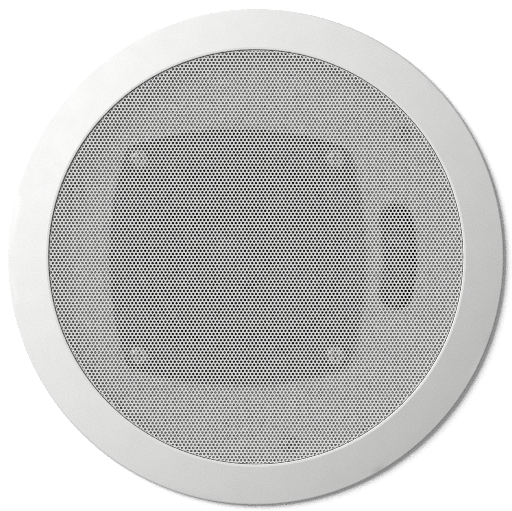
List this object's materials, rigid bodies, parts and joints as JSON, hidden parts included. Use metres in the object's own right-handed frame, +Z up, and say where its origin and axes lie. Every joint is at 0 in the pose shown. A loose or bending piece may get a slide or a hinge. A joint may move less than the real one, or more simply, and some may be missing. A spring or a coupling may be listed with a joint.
{
  "type": "ceiling speaker",
  "caption": "Round flush ceiling speaker: white bezel and perforated grille over an offset cone driver and bent port, with a steel back can, swing-out clamps and push terminals.",
  "frame": {"origin": "centre of the bezel's back face, where it meets the ceiling", "axes": "+Z up into the ceiling void along the speaker's axis; the grille faces -Z; the port lies at +X of the driver"},
  "size_m": [0.2, 0.2, 0.1145],
  "materials": {
    "white_moulding": "fine satin texture",
    "grille_paint": "satin powder coat",
    "frame_paint": "satin black",
    "can_steel": "zinc-plated, dull",
    "foam": "closed-cell foam",
    "screw_zinc": "bright zinc plate",
    "surround_rubber": "smooth matte",
    "cone_paper": "pressed fibre, dark grey",
    "cap_paper": "treated fibre, slight sheen",
    "former_film": "thin foil",
    "coil_copper": "enamelled winding",
    "spider_cloth": "resin-stiffened weave",
    "plate_steel": "passivated",
    "ferrite": "dull sintered grey",
    "strip_board": "pressed fibre board",
    "contact_brass": "plain",
    "black_moulding": "fine grain",
    "red_moulding": "fine grain",
    "leg_moulding": "glass-filled, dark grey",
    "spring_steel": "plain"
  },
  "bodies": {
    "housing": {"can_brackets": "can_steel", "can_cap": "can_steel", "can_gasket": "foam", "can_screws": "screw_zinc", "can_wall": "can_steel", "driver_basket": "frame_paint", "driver_gasket": "foam", "driver_screws": "screw_zinc", "ferrite_magnet": "ferrite", "front_baffle": "white_moulding", "grille": "grille_paint", "lead_black": "black_moulding", "lead_red": "red_moulding", "pole_yoke": "plate_steel", "port_tube": "black_moulding", "solder_lugs": "contact_brass", "spider": "spider_cloth", "surround": "surround_rubber", "terminal_block": "black_moulding", "terminal_contacts": "contact_brass", "terminal_screws": "screw_zinc", "terminal_strip": "strip_board", "tinsel_leads": "contact_brass", "top_plate": "plate_steel"},
    "diaphragm": {"cone": "cone_paper", "dust_cap": "cap_paper", "voice_coil_former": "former_film", "voice_coil": "coil_copper"},
    "clamp_screw_1": {"clamp_screw_1": "screw_zinc", "clamp_retainer_1": "spring_steel"},
    "clamp_nut_1": {"clamp_nut_1": "contact_brass"},
    "clamp_leg_1": {"clamp_leg_1": "leg_moulding"},
    "clamp_screw_2": {"clamp_screw_2": "screw_zinc", "clamp_retainer_2": "spring_steel"},
    "clamp_nut_2": {"clamp_nut_2": "contact_brass"},
    "clamp_leg_2": {"clamp_leg_2": "leg_moulding"},
    "clamp_screw_3": {"clamp_screw_3": "screw_zinc", "clamp_retainer_3": "spring_steel"},
    "clamp_nut_3": {"clamp_nut_3": "contact_brass"},
    "clamp_leg_3": {"clamp_leg_3": "leg_moulding"},
    "push_tab_red": {"push_tab_red": "red_moulding"},
    "push_tab_black": {"push_tab_black": "black_moulding"}
  },
  "joints": [
    {"name": "cone_travel", "type": "slide", "parent": "housing", "child": "diaphragm", "axis": [0, 0, 1], "range_m": [-0.003, 0.003], "stiffness_N_per_m": 1500, "deforming": ["surround", "spider", "tinsel_leads"]},
    {"name": "clamp_turn_1", "type": "hinge", "parent": "housing", "child": "clamp_screw_1", "pos_m": [0.01337, 0.07583, 0.05], "axis": [0, 0, 1], "range_deg": [0, 7200]},
    {"name": "clamp_feed_1", "type": "slide", "parent": "housing", "child": "clamp_nut_1", "axis": [0, 0, 1], "range_m": [-0.03, 0]},
    {"name": "clamp_swing_1", "type": "hinge", "parent": "clamp_nut_1", "child": "clamp_leg_1", "pos_m": [0.01337, 0.07583, 0.05], "axis": [0, 0, 1], "range_deg": [0, 98]},
    {"name": "clamp_turn_2", "type": "hinge", "parent": "housing", "child": "clamp_screw_2", "pos_m": [-0.07236, -0.02634, 0.05], "axis": [0, 0, 1], "range_deg": [0, 7200]},
    {"name": "clamp_feed_2", "type": "slide", "parent": "housing", "child": "clamp_nut_2", "axis": [0, 0, 1], "range_m": [-0.03, 0]},
    {"name": "clamp_swing_2", "type": "hinge", "parent": "clamp_nut_2", "child": "clamp_leg_2", "pos_m": [-0.07236, -0.02634, 0.05], "axis": [0, 0, 1], "range_deg": [0, 98]},
    {"name": "clamp_turn_3", "type": "hinge", "parent": "housing", "child": "clamp_screw_3", "pos_m": [0.05899, -0.04949, 0.05], "axis": [0, 0, 1], "range_deg": [0, 7200]},
    {"name": "clamp_feed_3", "type": "slide", "parent": "housing", "child": "clamp_nut_3", "axis": [0, 0, 1], "range_m": [-0.03, 0]},
    {"name": "clamp_swing_3", "type": "hinge", "parent": "clamp_nut_3", "child": "clamp_leg_3", "pos_m": [0.05899, -0.04949, 0.05], "axis": [0, 0, 1], "range_deg": [0, 98]},
    {"name": "push_red", "type": "hinge", "parent": "housing", "child": "push_tab_red", "pos_m": [0.008, 0.0311, 0.1035], "axis": [-1, 0, 0], "range_deg": [0, 12], "stiffness_Nm_per_rad": 0.2, "springref_deg": -5.73},
    {"name": "push_black", "type": "hinge", "parent": "housing", "child": "push_tab_black", "pos_m": [-0.008, 0.0311, 0.1035], "axis": [-1, 0, 0], "range_deg": [0, 12], "stiffness_Nm_per_rad": 0.2, "springref_deg": -5.73}
  ],
  "couplings": [
    {"joint": "clamp_turn_1", "follows": "clamp_feed_1", "rad_per_m": -4188.7},
    {"joint": "clamp_turn_2", "follows": "clamp_feed_2", "rad_per_m": -4188.7},
    {"joint": "clamp_turn_3", "follows": "clamp_feed_3", "rad_per_m": -4188.7}
  ]
}
